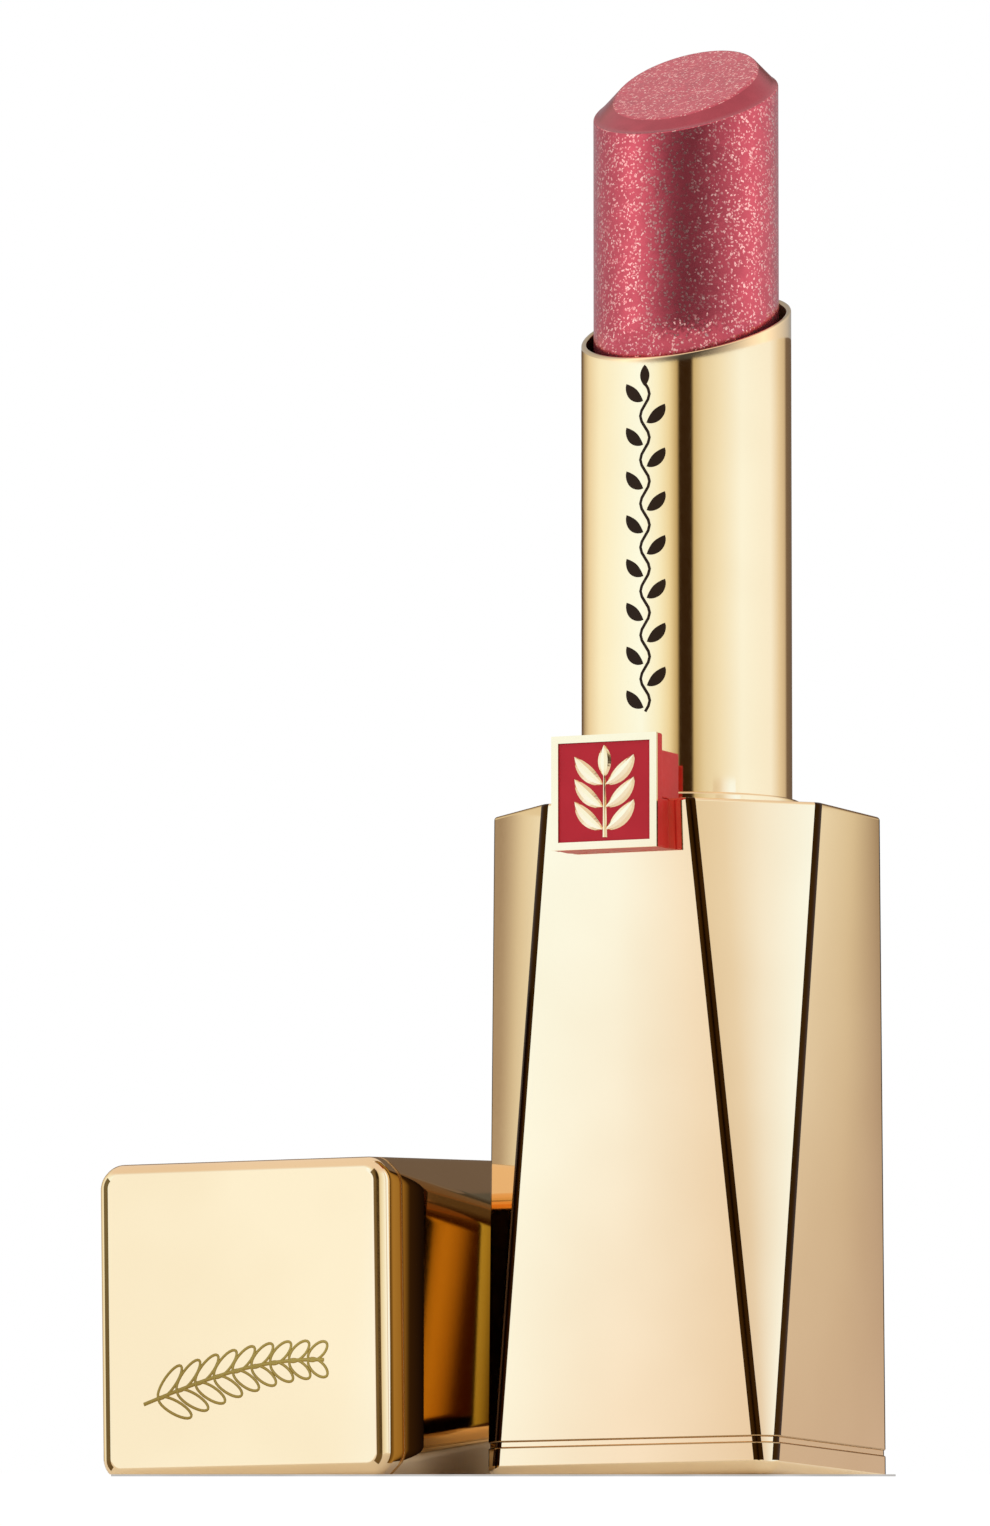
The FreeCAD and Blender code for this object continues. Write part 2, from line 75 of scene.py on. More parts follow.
STANDOFF = 1.05             # from the base's front at the joint to the emblem's back
KEY_WIDTH = 7.2
KEY_BOTTOM = 43.32
KEY_TOP = 46.4
KEY_NOTCH_WIDTH = 7.8
KEY_NOTCH_DEPTH = 3.3
COLLAR_BORE = 6.95
COLLAR_ROUND = 0.18
TUBE_RADIUS = 6.85
TUBE_BORE = 6.5
RIM_SLOPE = 0.43            # rise of the tube's rim towards the back
TIP_SLOPE = 0.631
BEVEL_SLOPE = 0.484
BULLET_RADIUS = 6.05
TIP_RADIUS = 4.65
BEVEL_DROP = 1.3            # from the tip's flat down to the bevel's lower edge, at the axis
TIP_EDGE_RADIUS = 0.14
CUT_GAP = 0.02              # keeps joined blocks from ending in the same plane


# ------------------------------------------------------------------ mesh helpers
def link_object(name, mesh):
    """Object in the scene for a mesh."""
    obj = bpy.data.objects.new(name, mesh)
    bpy.context.scene.collection.objects.link(obj)
    return obj


def make_object(name, vertices, faces, normals=None, matrix=None):
    """Object from points in millimetres; normals, where given, are exact vertex normals."""
    mesh = bpy.data.meshes.new(name)
    mesh.from_pydata([tuple(Vector(v) * MM) for v in vertices], [], faces)
    mesh.validate()
    if matrix is not None:
        mesh.transform(matrix)
    mesh.shade_smooth()
    if normals is not None:
        turn = matrix.to_3x3() if matrix is not None else Matrix.Identity(3)
        mesh.normals_split_custom_set_from_vertices([(turn @ Vector(n)).normalized()
                                                     for n in normals])
    return link_object(name, mesh)


def arc(level, inset, radius, start, stop, steps=6):
    """Profile points round one edge: (z, inset, angle of the normal above outward)."""
    points = []
    for i in range(steps + 1):
        angle = math.radians(start + (stop - start) * i / steps)
        points.append((level + radius * math.sin(angle),
                       inset - radius * math.cos(angle), angle))
    return points


class Faceted:
    """Eight-sided stump between two (width, leg) pairs; facet 0 looks along -Y."""

    def __init__(self, low, high, length, rounding):
        self.low, self.high, self.length, self.rounding = low, high, length, rounding
        self.directions = [math.radians(45 * k - 90) for k in range(8)]

    def half(self, facet, z):
        """Distance of a facet from the axis at a level."""
        share = z / self.length
        width = self.low[0] + (self.high[0] - self.low[0]) * share
        leg = self.low[1] + (self.high[1] - self.low[1]) * share
        return width / 2 if facet % 2 == 0 else (width - leg) / math.sqrt(2)

    def facet_normal(self, facet):
        """Unit normal of a facet's plane."""
        slope = (self.half(facet, self.length) - self.half(facet, 0)) / self.length
        direction = self.directions[facet % 8]
        return Vector((math.cos(direction), math.sin(direction), -slope)).normalized()

    def ring(self, z, inset, steps=8):
        """Points of a rounded octagon and the wall's normal at each."""
        points, normals = [], []
        cosine = math.cos(math.radians(45))
        share = min(max(z / self.length, 0.0), 1.0)
        radius = self.rounding[0] + (self.rounding[1] - self.rounding[0]) * share ** 2
        radius = max(radius - inset, 0.12)
        for k in range(8):
            first, second = self.directions[k], self.directions[(k + 1) % 8]
            h1 = self.half(k, z) - inset - radius
            h2 = self.half((k + 1) % 8, z) - inset - radius
            a = (h1 - cosine * h2) / (1 - cosine ** 2)
            b = (h2 - cosine * h1) / (1 - cosine ** 2)
            cx = a * math.cos(first) + b * math.cos(second)
            cy = a * math.sin(first) + b * math.sin(second)
            n1, n2 = self.facet_normal(k), self.facet_normal((k + 1) % 8)
            for i in range(steps + 1):
                angle = first + math.radians(45) * i / steps
                points.append((cx + radius * math.cos(angle), cy + radius * math.sin(angle), z))
                normals.append(n1.lerp(n2, i / steps).normalized())
        return points, normals


def sweep_rings(name, form, profile, closed=True, matrix=None, steps=8,
                plain_below=0.0, seam_spans=()):
    """Solid made of rounded octagons; closed profiles need no end faces.

    Rounded facet edges above plain_below get material 1 (on the base, a painted dark reflection),
    and the profile's spans listed in seam_spans get material 2 (painted shade beside a seam).
    """
    vertices, normals, faces = [], [], []
    for z, inset, angle in profile:
        points, walls = form.ring(z, inset, steps)
        vertices += points
        for wall in walls:
            normals.append(wall * math.cos(angle) + Vector((0, 0, math.sin(angle))))
    count = 8 * (steps + 1)
    rings = len(profile)
    spans = rings if closed else rings - 1
    for i in range(spans):
        here, there = i * count, ((i + 1) % rings) * count
        for j in range(count):
            k = (j + 1) % count
            faces.append((here + j, here + k, there + k, there + j))
    if not closed:
        faces.append(tuple(range(count))[::-1])
        faces.append(tuple(range((rings - 1) * count, rings * count)))
    obj = make_object(name, vertices, faces, normals, matrix)
    for index in range(spans * count):
        level = profile[index // count][0]
        if index // count in seam_spans:
            obj.data.polygons[index].material_index = 2
        elif index % count % (steps + 1) < steps and level >= plain_below:
            obj.data.polygons[index].material_index = 1
    return obj


def lathe(name, profile, segments=160, bend=None):
    """Closed ring solid from (radius, z, normal angle above outward) points.

    bend, where given, maps each point and normal to its height and normal in the piece.
    """
    vertices, normals, faces = [], [], []
    for radius, z, angle in profile:
        for j in range(segments):
            turn = 2 * math.pi * j / segments
            x, y = radius * math.cos(turn), radius * math.sin(turn)
            normal = Vector((math.cos(turn) * math.cos(angle),
                             math.sin(turn) * math.cos(angle), math.sin(angle)))
            if bend is not None:
                z_here, normal = bend(x, y, z, normal)
            else:
                z_here = z
            vertices.append((x, y, z_here))
            normals.append(normal)
    rings = len(profile)
    for i in range(rings):
        here, there = i * segments, ((i + 1) % rings) * segments
        for j in range(segments):
            k = (j + 1) % segments
            faces.append((here + j, here + k, there + k, there + j))
    return make_object(name, vertices, faces, normals)


def round_box(name, low, high, radius, segments=3, matrix=None):
    """Box between two corners with every edge rounded."""
    mesh = bpy.data.meshes.new(name)
    corners = [(x, y, z) for x in (low[0], high[0]) for y in (low[1], high[1])
               for z in (low[2], high[2])]
    quads = [(0, 1, 3, 2), (4, 6, 7, 5), (0, 4, 5, 1), (2, 3, 7, 6), (0, 2, 6, 4), (1, 5, 7, 3)]
    mesh.from_pydata([tuple(Vector(c) * MM) for c in corners], [], quads)
    if matrix is not None:
        mesh.transform(matrix)
    mesh.shade_smooth()
    obj = link_object(name, mesh)
    bevel = obj.modifiers.new("rounding", "BEVEL")
    bevel.width = radius * MM
    bevel.segments = segments
    bevel.harden_normals = True
    return obj


def finish_piece(obj, body, materials, replaced=()):
    """Materials, body and the CAD nodes that a piece stands for."""
    for material in materials:
        obj.data.materials.append(material)
    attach(obj, body)
    if replaced:
        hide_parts(*replaced)
    return obj


# ------------------------------------------------------------------ materials
class Nodes:
    """Small wrapper that keeps node set-up short."""

    def __init__(self, name):
        self.material = bpy.data.materials.new(name)
        self.material.use_nodes = True
        self.tree = self.material.node_tree
        self.tree.nodes.clear()
        self.shader = self.add("ShaderNodeBsdfPrincipled")
        self.output = self.add("ShaderNodeOutputMaterial")
        self.link(self.shader, "BSDF", self.output, "Surface")

    def add(self, kind, **values):
        node = self.tree.nodes.new(kind)
        for key, value in values.items():
            if hasattr(node, key):
                setattr(node, key, value)
            else:
                node.inputs[key.replace("_", " ").title()].default_value = value
        return node

    def link(self, source, output, target, socket):
        self.tree.links.new(source.outputs[output], target.inputs[socket])

    def set(self, **values):
        for key, value in values.items():
            self.shader.inputs[key.replace("_", " ")].default_value = value

    def position(self):
        """Object coordinates in millimetres."""
        where = self.add("ShaderNodeTexCoord")
        mapping = self.add("ShaderNodeMapping")
        mapping.inputs["Scale"].default_value = (1 / MM, 1 / MM, 1 / MM)
        self.link(where, "Object", mapping, "Vector")
        return mapping

    def noise(self, place, scale, detail=3.0):
        node = self.add("ShaderNodeTexNoise", Scale=scale, Detail=detail)
        self.link(place, "Vector", node, "Vector")
        return node

    def ramp(self, source, output, stops):
        node = self.add("ShaderNodeValToRGB")
        elements = node.color_ramp.elements
        while len(elements) < len(stops):
            elements.new(0.5)
        for element, (place, colour) in zip(elements, stops):
            element.position = place
            element.color = (*colour, 1.0)
        self.link(source, output, node, "Fac")
        return node

    def span(self, source, output, low, high):
        """Map a 0-1 value onto a range."""
        node = self.add("ShaderNodeMapRange")
        node.inputs["To Min"].default_value = low
        node.inputs["To Max"].default_value = high
        self.link(source, output, node, "Value")
        return node

    def bump(self, source, output, distance):
        node = self.add("ShaderNodeBump")
        node.inputs["Strength"].default_value = 1.0
        node.inputs["Distance"].default_value = distance
        self.link(source, output, node, "Height")
        self.link(node, "Normal", self.shader, "Normal")


def metal(name, light, dark, roughness):
    """Polished plated metal: cloudy tone, fine handling marks in its roughness."""
    n = Nodes(name)
    place = n.position()
    cloud = n.noise(place, 0.09, 2.0)
    tone = n.ramp(cloud, "Fac", [(0.35, dark), (0.65, light)])
    n.link(tone, "Color", n.shader, "Base Color")
    marks = n.noise(place, 2.2, 6.0)
    rough = n.span(marks, "Fac", roughness * 0.65, roughness * 1.35)
    n.link(rough, "Result", n.shader, "Roughness")
    n.set(Metallic=1.0)
    return n.material


def plastic(name, light, dark, roughness, shine=0.5):
    """Moulded plastic with a slight mottle and moulding texture."""
    n = Nodes(name)
    place = n.position()
    cloud = n.noise(place, 0.4, 3.0)
    tone = n.ramp(cloud, "Fac", [(0.3, dark), (0.7, light)])
    n.link(tone, "Color", n.shader, "Base Color")
    grain = n.noise(place, 3.0, 4.0)
    rough = n.span(grain, "Fac", roughness * 0.8, roughness * 1.2)
    n.link(rough, "Result", n.shader, "Roughness")
    n.shader.inputs["Specular IOR Level"].default_value = shine
    n.bump(grain, "Fac", 0.003 * MM)
    return n.material


def lip_colour(name, flakes, tint):
    """Rose wax with mica: each chosen cell of a fine pattern is a tiny tilted mirror.

    flakes is the share of cells that hold a flake, and tint the wax's darker tone.
    """
    n = Nodes(name)
    place = n.position()
    cloud = n.noise(place, 0.8, 4.0)
    wax = n.ramp(cloud, "Fac", [(0.3, tint), (0.7, tuple(1.2 * c for c in tint))])
    n.set(Metallic=0.78, Roughness=0.24)
    if not flakes:
        n.link(wax, "Color", n.shader, "Base Color")
        n.bump(n.noise(place, 6.0, 3.0), "Fac", 0.004 * MM)
        return n.material
    wander = n.noise(place, 3.5, 2.0)
    shift = n.add("ShaderNodeVectorMath", operation="SCALE")
    shift.inputs["Scale"].default_value = 0.35
    n.link(wander, "Color", shift, 0)
    place_off = n.add("ShaderNodeVectorMath", operation="ADD")
    n.link(place, "Vector", place_off, 0)
    n.link(shift, "Vector", place_off, 1)
    cells = n.add("ShaderNodeTexVoronoi", Scale=6.4)
    n.link(place_off, "Vector", cells, "Vector")
    pick = n.add("ShaderNodeSeparateColor")
    n.link(cells, "Color", pick, "Color")
    chosen = n.add("ShaderNodeMath", operation="GREATER_THAN")
    chosen.inputs[1].default_value = 1.0 - flakes
    n.link(pick, "Red", chosen, 0)
    core = n.add("ShaderNodeMath", operation="LESS_THAN")
    core.inputs[1].default_value = 0.50
    n.link(cells, "Distance", core, 0)
    flake = n.add("ShaderNodeMath", operation="MULTIPLY")
    n.link(chosen, "Value", flake, 0)
    n.link(core, "Value", flake, 1)
    glint = n.ramp(pick, "Green", [(0.0, (0.80, 0.25, 0.26)), (1.0, (1.0, 0.58, 0.53))])
    mix = n.add("ShaderNodeMix", data_type="RGBA")
    n.link(flake, "Value", mix, 0)
    n.link(wax, "Color", mix, 6)
    n.link(glint, "Color", mix, 7)
    n.link(mix, 2, n.shader, "Base Color")
    n.link(n.span(flake, "Value", 0.78, 0.92), "Result", n.shader, "Metallic")
    n.link(n.span(flake, "Value", 0.24, 0.20), "Result", n.shader, "Roughness")
    tilt = n.add("ShaderNodeVectorMath", operation="SUBTRACT")
    tilt.inputs[1].default_value = (0.5, 0.5, 0.5)
    n.link(cells, "Color", tilt, 0)
    spread = n.add("ShaderNodeVectorMath", operation="SCALE")
    n.link(tilt, "Vector", spread, 0)
    n.link(n.span(flake, "Value", 0.10, 0.24), "Result", spread, "Scale")
    surface = n.add("ShaderNodeNewGeometry")
    total = n.add("ShaderNodeVectorMath", operation="ADD")
    n.link(surface, "Normal", total, 0)
    n.link(spread, "Vector", total, 1)
    unit = n.add("ShaderNodeVectorMath", operation="NORMALIZE")
    n.link(total, "Vector", unit, 0)
    n.link(unit, "Vector", n.shader, "Normal")
    return n.material


GOLD = (0.98, 0.735, 0.43)
GOLD_CLOUD = (0.95, 0.70, 0.40)
gold_case = metal("gold_case", GOLD, GOLD_CLOUD, 0.045)
# Painted dark reflection for the rounded facet edges of the base.
gold_painted_dark_edge = metal("gold_painted_dark_edge", (0.045, 0.015, 0.002), (0.028, 0.009, 0.001), 0.20)
# Painted shade for the rounded edges beside the seams.
gold_seam_shade = metal("gold_seam_shade", (0.55, 0.34, 0.15), (0.48, 0.29, 0.12), 0.20)
gold_tube = metal("gold_tube", GOLD, GOLD_CLOUD, 0.075)
gold_emblem = metal("gold_emblem", (0.98, 0.76, 0.47), (0.95, 0.72, 0.43), 0.16)
# Painted shade for the tube's inner wall.
gold_inner_shade = metal("gold_inner_shade", (0.30, 0.16, 0.05), (0.22, 0.11, 0.03), 0.30)
gold_shade = metal("gold_shade", (0.22, 0.12, 0.035), (0.16, 0.085, 0.022), 0.18)
gold_line = metal("gold_line", (0.42, 0.29, 0.07), (0.34, 0.22, 0.05), 0.25)
steel = metal("ballast_steel", (0.52, 0.52, 0.53), (0.44, 0.44, 0.46), 0.32)
nickel = metal("magnet_nickel", (0.70, 0.70, 0.71), (0.62, 0.62, 0.63), 0.20)
red_plastic = plastic("red_plastic", (0.60, 0.008, 0.010), (0.52, 0.004, 0.006), 0.42, 0.30)
red_enamel = plastic("red_enamel", (0.50, 0.014, 0.026), (0.44, 0.010, 0.020), 0.38, 0.18)
print_ink = plastic("print_ink", (0.028, 0.013, 0.004), (0.020, 0.009, 0.003), 0.45, 0.10)
lip = lip_colour("lip_colour", 0.38, (0.55, 0.082, 0.112))
# Bevel wax: no flakes, and a darker tone that is painted shade.
lip_shaved_shade = lip_colour("lip_shaved_shade", 0.0, (0.40, 0.056, 0.076))

PLAIN_FINISHES = {
    "cup_plastic": ((0.75, 0.72, 0.66), (0.68, 0.65, 0.60), 0.40),
    "guide_plastic": ((0.62, 0.52, 0.30), (0.55, 0.45, 0.26), 0.35),
    "spiral_plastic": ((0.76, 0.75, 0.71), (0.70, 0.69, 0.66), 0.38),
    "chassis_plastic": ((0.035, 0.030, 0.025), (0.025, 0.021, 0.018), 0.45),
    "liner_plastic": ((0.030, 0.027, 0.024), (0.020, 0.018, 0.016), 0.42),
    "bearing_plastic": ((0.82, 0.82, 0.80), (0.76, 0.76, 0.74), 0.30),
    "drag_rubber": ((0.020, 0.020, 0.021), (0.012, 0.012, 0.013), 0.60),
    "label_film": ((0.80, 0.77, 0.70), (0.76, 0.73, 0.66), 0.50),
}
finishes = {name: plastic(name, *values) for name, values in PLAIN_FINISHES.items()}
finishes.update(gold_case=gold_case, gold_tube=gold_tube, gold_emblem=gold_emblem,
                ballast_steel=steel, magnet_nickel=nickel, red_plastic=red_plastic,
                red_enamel=red_enamel, lip_colour=lip)

for part in frame["record"]["subparts"]:
    node = frame["nodes"][part["node"]]
    node.data.materials.clear()
    node.data.materials.append(finishes[part["material_slot"]])


# ------------------------------------------------------------------ base
base_form = Faceted((BASE_FOOT_WIDTH, BASE_FOOT_LEG), (JOINT_WIDTH, JOINT_LEG), BASE_HEIGHT,
                    (FACET_RADIUS, FACET_RADIUS))
cap_form = Faceted((JOINT_WIDTH, JOINT_LEG), (CAP_END_WIDTH, CAP_END_LEG), CAP_LENGTH,
                   (FACET_RADIUS, CAP_CORNER_RADIUS))


def shell_profile(low, high, low_round, high_round):
    """Wall with rounded edges: out at low, up, over at high and down the inside."""
    inner = 0.05
    return (arc(low + low_round, low_round, low_round, -90, 0)
            + arc(high - high_round, high_round, high_round, 0, 90)
            + arc(high - inner, WALL - inner, inner, 90, 180)
            + arc(low + inner, WALL - inner, inner, 180, 270)[:-1])


def band_profile(low, high):
    """Thin band let in between shell and end plate."""
    edge = 0.04
    inset = SEAM_INSET
    return (arc(low + edge, inset + edge, edge, -90, 0, 3)
            + arc(high - edge, inset + edge, edge, 0, 90, 3)
            + [(high, WALL, math.radians(90)), (low, WALL, math.radians(-90))])


# spans of the profiles above that are an outer rounded edge next to a seam; they take painted shade
SHELL_LOW_EDGE = range(6)
SHELL_HIGH_EDGE = range(7, 13)
FOOT_TOP_EDGE = range(13, 16)


def make_base():
    """Shell, seam band and foot plate of the base."""
    seam_top = FOOT_HEIGHT + SEAM_HEIGHT
    shell = sweep_rings("base_case", base_form,
                        shell_profile(seam_top, BASE_HEIGHT, SEAM_ROUND, RIM_RADIUS),
                        seam_spans=SHELL_LOW_EDGE)
    finish_piece(shell, "base", [gold_case, gold_painted_dark_edge, gold_seam_shade], ["base_shell"])
    band = sweep_rings("base_band", base_form, band_profile(FOOT_HEIGHT, seam_top))
    finish_piece(band, "base", [gold_case, gold_painted_dark_edge], ["base_seam_band"])
    plate = (arc(END_RADIUS, END_RADIUS, END_RADIUS, -90, 0, 12)
             + arc(FOOT_HEIGHT - SEAM_ROUND, SEAM_ROUND, SEAM_ROUND, 0, 90, 3))
    foot = sweep_rings("base_foot", base_form, plate, closed=False, plain_below=END_RADIUS * 0.9,
                       seam_spans=FOOT_TOP_EDGE)
    finish_piece(foot, "base", [gold_case, gold_painted_dark_edge, gold_seam_shade],
                 ["base_end_plate"])


def make_collar():
    """Raised ring round the tube, with rounded upper edges."""
    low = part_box("base_collar")[0].z / MM
    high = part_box("base_collar")[1].z / MM
    inner, outer = COLLAR_BORE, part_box("base_collar")[1].x / MM
    r = COLLAR_ROUND
    profile = [(outer, low, math.radians(0))]
    for i in range(7):
        angle = math.radians(90 * i / 6)
        profile.append((outer - r + r * math.cos(angle), high - r + r * math.sin(angle), angle))
    for i in range(7):
        angle = math.radians(90 + 90 * i / 6)
        profile.append((inner + r + r * math.cos(angle), high - r + r * math.sin(angle), angle))
    profile.append((inner, low, math.radians(180)))
    collar = lathe("collar", profile)
    finish_piece(collar, "base", [gold_tube], ["base_collar"])


# ------------------------------------------------------------------ tube and bullet
def make_tube():
    """Tube whose upper end is cut on a slant and rounded at the rim."""
    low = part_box("tube_shell")[0].z / MM
    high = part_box("tube_shell")[1].z / MM
    rim_level = high - RIM_SLOPE * TUBE_RADIUS
    straight = rim_level - 8.0
    r = (TUBE_RADIUS - TUBE_BORE) / 2

    def bend(x, y, z, normal):
        """Shear the rim so that it follows the slanted plane."""
        if z <= straight:
            return z, normal
        if abs(normal.z) > 0.05:
            normal = Vector((normal.x, normal.y - normal.z * RIM_SLOPE, normal.z)).normalized()
        return z + RIM_SLOPE * y, normal

    middle = TUBE_BORE + r
    profile = [(TUBE_RADIUS, low, 0.0), (TUBE_RADIUS, straight, 0.0)]
    for i in range(13):
        angle = math.radians(180 * i / 12)
        profile.append((middle + r * math.cos(angle), rim_level - r + r * math.sin(angle), angle))
    profile += [(TUBE_BORE, straight, math.pi), (TUBE_BORE, low, math.pi)]
    segments = 192
    tube = lathe("tube", profile, segments, bend)
    # The inner wall takes the painted shade.
    inside = range(13 * segments, 16 * segments)
    for index in inside:
        tube.data.polygons[index].material_index = 1
    finish_piece(tube, "swivel", [gold_tube, gold_inner_shade], ["tube_shell"])


def make_bullet():
    """Cylinder with a slanted, bevelled tip whose edges are slightly worn round."""
    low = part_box("bullet")[0].z / MM
    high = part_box("bullet")[1].z / MM
    tip_level = high - TIP_SLOPE * TIP_RADIUS
    bevel_level = tip_level - BEVEL_DROP
    segments = 160
    soft = TIP_EDGE_RADIUS

    def height(radius, turn):
        """Height of the tip surface before its edges are softened."""
        y = math.sin(turn)
        if radius <= TIP_RADIUS:
            return tip_level + TIP_SLOPE * radius * y
        flat = tip_level + TIP_SLOPE * TIP_RADIUS * y
        low_edge = bevel_level + BEVEL_SLOPE * BULLET_RADIUS * y
        share = (radius - TIP_RADIUS) / (BULLET_RADIUS - TIP_RADIUS)
        return flat + (low_edge - flat) * share

    radii = [0.0001] + list(np.linspace(0.6, TIP_RADIUS - soft, 7))
    radii += list(np.linspace(TIP_RADIUS - soft, TIP_RADIUS + soft, 7)[1:])
    radii += list(np.linspace(TIP_RADIUS + soft, BULLET_RADIUS - soft, 5)[1:])
    vertices, faces = [], []
    for radius in radii:
        for j in range(segments):
            turn = 2 * math.pi * j / segments
            if radius < TIP_RADIUS - soft * 1.5:
                z = height(radius, turn)
            else:
                z = (0.25 * height(radius - soft * 0.6, turn) + 0.5 * height(radius, turn)
                     + 0.25 * height(radius + soft * 0.6, turn))
            vertices.append((radius * math.cos(turn), radius * math.sin(turn), z))
    steps = 6
    for i in range(1, steps + 1):
        angle = math.radians(90 * i / steps)
        for j in range(segments):
            turn = 2 * math.pi * j / segments
            radius = BULLET_RADIUS - soft + soft * math.sin(angle)
            drop = soft * 0.9 * (1 - math.cos(angle))
            z = height(BULLET_RADIUS - soft, turn) - drop
            vertices.append((radius * math.cos(turn), radius * math.sin(turn), z))
    for share in (1.0, 0.5, 0.0):
        for j in range(segments):
            turn = 2 * math.pi * j / segments
            top = height(BULLET_RADIUS - soft, turn) - 1.2
            z = low + (top - low) * share
            vertices.append((BULLET_RADIUS * math.cos(turn), BULLET_RADIUS * math.sin(turn), z))
    count = len(vertices) // segments
    for i in range(count - 1):
        for j in range(segments):
            k = (j + 1) % segments
            faces.append((i * segments + j, (i + 1) * segments + j,
                          (i + 1) * segments + k, i * segments + k))
    faces.append(tuple(range(segments)))
    faces.append(tuple(range((count - 1) * segments, count * segments))[::-1])
    bullet = make_object("lip_bullet", vertices, faces)
    # Rings of the bevel: wax without flakes, darkened with painted shade.
    shaved = range(len(radii) - 5, len(radii) + 1)
    for index in range((count - 1) * segments):
        if index // segments in shaved:
            bullet.data.polygons[index].material_index = 1
    finish_piece(bullet, "carrier", [lip, lip_shaved_shade], ["bullet"])


# ------------------------------------------------------------------ ornaments
class Strokes:
    """Flat ribbons with sloping sides, drawn in a plane and put in place by a function."""

    def __init__(self, height, bevel):
        self.height, self.bevel = height, bevel
        self.vertices, self.faces = [], []

    def stroke(self, points, widths):
        """One ribbon along points (u, v) with a width at each."""
        first = len(self.vertices)
        for i, (u, v) in enumerate(points):
            before, after = points[max(i - 1, 0)], points[min(i + 1, len(points) - 1)]
            along = Vector((after[0] - before[0], after[1] - before[1])).normalized()
            side = Vector((-along.y, along.x))
            half = max(widths[i], 0.012) / 2
            inner = half * (1 - self.bevel)
            for reach, rise in ((-half, 0), (-inner, self.height), (0, self.height * 1.25),
                                (inner, self.height), (half, 0)):
                self.vertices.append((u + side.x * reach, v + side.y * reach, rise))
        for i in range(len(points) - 1):
            for k in range(5):
                here, there = first + i * 5, first + (i + 1) * 5
                j = (k + 1) % 5
                self.faces.append((here + k, here + j, there + j, there + k))
        last = first + (len(points) - 1) * 5
        self.faces.append(tuple(range(first + 4, first - 1, -1)))
        self.faces.append(tuple(range(last, last + 5)))

    def leaf(self, root, angle, length, width, bend):
        """Pointed leaf growing from root; angle is measured from +u."""
        points, widths, steps = [], [], 12
        for i in range(steps + 1):
            t = i / steps
            turn = angle + bend * (t - 0.5) * 2
            step = length / steps
            if i:
                points.append((points[-1][0] + step * math.cos(turn),
                               points[-1][1] + step * math.sin(turn)))
            else:
                points.append(root)
            widths.append(width * math.sin(math.pi * t) ** 0.75 if 0 < i < steps else 0)
        self.stroke(points, widths)

    def build(self, name, place, matrix=None):
        """Mesh object with every point put in place by a function of (u, v, height)."""
        obj = make_object(name, [place(*v) for v in self.vertices], self.faces, matrix=matrix)
        obj.data.shade_flat()
        return obj


def make_tube_print():
    """Printed vine up the front of the tube."""
    low, high, leaves, steps = 49.6, 71.0, 15, 60
    swing, stem = 0.32, 0.20
    vine = Strokes(0.008, 0.1)
    sway = [(swing * math.sin(i / steps * leaves * math.pi), low + (high - low) * i / steps)
            for i in range(steps + 1)]
    vine.stroke(sway, [stem] * len(sway))
    for i in range(leaves):
        side = 1 if i % 2 else -1
        z = low + (high - low) * (i + 0.5) / leaves
        lean = math.radians(90 - side * 48)
        vine.leaf((side * 0.12, z - 0.45), lean, 1.75, 0.78, side * 0.35)
    vine.leaf((0.0, high - 0.2), math.radians(90), 1.4, 0.66, 0.0)

    def on_tube(u, v, rise):
        angle = u / TUBE_RADIUS
        radius = TUBE_RADIUS + 0.002 + rise
        return (radius * math.sin(angle), -radius * math.cos(angle), v)

    piece = vine.build("tube_print", on_tube)
    finish_piece(piece, "swivel", [print_ink])


def make_cap_ornament():
    """Fine raised laurel spray across the lower left of the cap's closed end."""
    spray = Strokes(0.035, 0.55)
    left, right, level, rise, pairs = -30.6, -17.8, 5.0, 2.6, 9
    points = []
    for i in range(49):
        t = i / 48
        points.append((left + (right - left) * t, level + rise * math.sin(t * math.pi * 0.55)))
    spray.stroke(points, [0.26] * len(points))
    for i in range(pairs):
        root = points[4 + i * 5]
        lean = math.radians(12 - i * 1.5)
        size = 2.6 - 0.12 * i
        for side in (1, -1):
            outline = []
            for k in range(25):
                t = k / 24
                along = size * (0.5 - 0.5 * math.cos(2 * math.pi * t))
                across = 0.42 * math.sin(2 * math.pi * t)
                turn = lean + side * math.radians(40)
                outline.append((root[0] + along * math.cos(turn) - across * math.sin(turn),
                                root[1] + along * math.sin(turn) + across * math.cos(turn)))
            spray.stroke(outline, [0.20] * 25)
    middle = CAP_END_WIDTH / 2
    piece = spray.build("cap_ornament",
                        lambda u, v, rise: (CAP_X - u, middle - v, CAP_LENGTH + rise - 0.004),
                        lying_matrix())
    finish_piece(piece, "cap", [gold_line])


